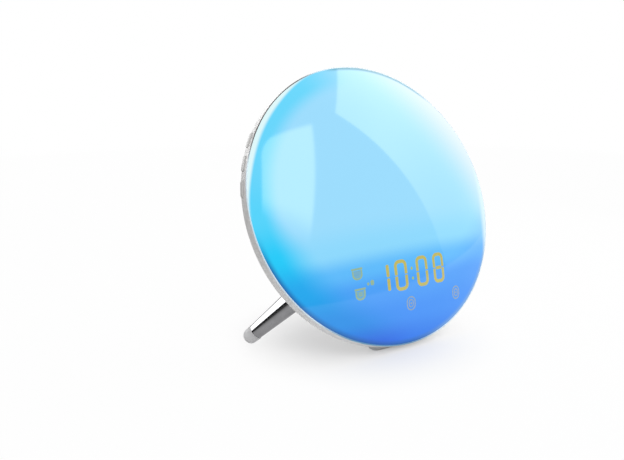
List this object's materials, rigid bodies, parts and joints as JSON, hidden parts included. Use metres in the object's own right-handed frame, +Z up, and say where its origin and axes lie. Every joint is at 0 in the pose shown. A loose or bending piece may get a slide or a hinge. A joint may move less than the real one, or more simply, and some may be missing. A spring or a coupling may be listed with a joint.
{
  "type": "sunrise alarm clock",
  "caption": "Round lamp that leans back on a rest pad and splayed rear legs, with a lit dome, a clock display behind it, side keys, a perforated rear shell and a battery cover.",
  "frame": {"origin": "centre of the rest pad's flat underside, on the table", "axes": "+X to the right of someone facing the clock, +Y to the clock's back, +Z up; the face leans back from upright"},
  "size_m": [0.1915, 0.0953, 0.1772],
  "materials": {
    "opal_dome": "satin opal, lit from behind",
    "ring_plastic": "satin",
    "white_plastic": "fine texture",
    "key_plastic": "satin",
    "black_plastic": "matte",
    "tray_white": "satin",
    "circuit_board": "solder mask",
    "emitter": "phosphor dome",
    "amber_digits": "clear, lit from behind",
    "dim_icons": "clear",
    "screw_steel": "zinc plated",
    "socket_steel": "tin plated",
    "brass": "machined",
    "leg_steel": "polished",
    "grey_rubber": "soft satin",
    "foam": "closed-cell foam",
    "speaker_steel": "black",
    "ferrite": "dark grey",
    "cone_paper": "pressed pulp"
  },
  "bodies": {
    "clock": {"battery_contact": "socket_steel", "battery_holder": "black_plastic", "board_parts": "black_plastic", "board_screws": "screw_steel", "coin_cell": "socket_steel", "dc_jack": "black_plastic", "dc_pin": "brass", "display_board": "circuit_board", "display_frame": "black_plastic", "display_icons": "dim_icons", "display_segments": "amber_digits", "front_diffuser": "opal_dome", "housing_screws": "screw_steel", "lamp_ribbon": "tray_white", "led_board": "circuit_board", "led_emitters": "emitter", "left_key_board": "circuit_board", "left_key_switches": "black_plastic", "left_leg": "leg_steel", "left_leg_insert": "brass", "left_leg_stud": "screw_steel", "left_leg_tip": "grey_rubber", "left_speaker_cone": "cone_paper", "left_speaker_frame": "speaker_steel", "left_speaker_gasket": "foam", "left_speaker_magnet": "ferrite", "main_board": "circuit_board", "port_board": "circuit_board", "rear_housing": "white_plastic", "reflector_tray": "tray_white", "rest_pad": "grey_rubber", "ribbon_plugs": "tray_white", "right_key_board": "circuit_board", "right_key_switches": "black_plastic", "right_leg": "leg_steel", "right_leg_insert": "brass", "right_leg_stud": "screw_steel", "right_leg_tip": "grey_rubber", "right_speaker_cone": "cone_paper", "right_speaker_frame": "speaker_steel", "right_speaker_gasket": "foam", "right_speaker_magnet": "ferrite", "touch_board": "circuit_board", "touch_guides": "dim_icons", "tray_screws": "screw_steel", "trim_ring": "ring_plastic", "usb_socket": "socket_steel", "usb_tongue": "tray_white"},
    "key_sound_button": {"key_sound": "key_plastic", "key_sound_plunger": "black_plastic"},
    "key_menu_button": {"key_menu": "key_plastic", "key_menu_plunger": "black_plastic"},
    "key_light_button": {"key_light": "key_plastic", "key_light_plunger": "black_plastic"},
    "key_minus_button": {"key_minus": "key_plastic", "key_minus_plunger": "black_plastic"},
    "key_plus_button": {"key_plus": "key_plastic", "key_plus_plunger": "black_plastic"},
    "battery_door": {"battery_cover": "white_plastic"}
  },
  "joints": [
    {"name": "key_sound_press", "type": "slide", "parent": "clock", "child": "key_sound_button", "axis": [0.9239, -0.1602, -0.3475], "range_m": [0, 0.00035], "stiffness_N_per_m": 4500},
    {"name": "key_menu_press", "type": "slide", "parent": "clock", "child": "key_menu_button", "axis": [0.9239, -0.1602, -0.3475], "range_m": [0, 0.00035], "stiffness_N_per_m": 4500},
    {"name": "key_light_press", "type": "slide", "parent": "clock", "child": "key_light_button", "axis": [0.9239, -0.1602, -0.3475], "range_m": [0, 0.00035], "stiffness_N_per_m": 4500},
    {"name": "key_minus_press", "type": "slide", "parent": "clock", "child": "key_minus_button", "axis": [-0.9659, 0.1084, 0.235], "range_m": [0, 0.00035], "stiffness_N_per_m": 4500},
    {"name": "key_plus_press", "type": "slide", "parent": "clock", "child": "key_plus_button", "axis": [-0.9659, 0.1084, 0.235], "range_m": [0, 0.00035], "stiffness_N_per_m": 4500},
    {"name": "battery_door_turn", "type": "hinge", "parent": "clock", "child": "battery_door", "pos_m": [0, 0.07029, 0.07046], "axis": [0, 0.9081, -0.4187], "range_deg": [0, 30]}
  ]
}
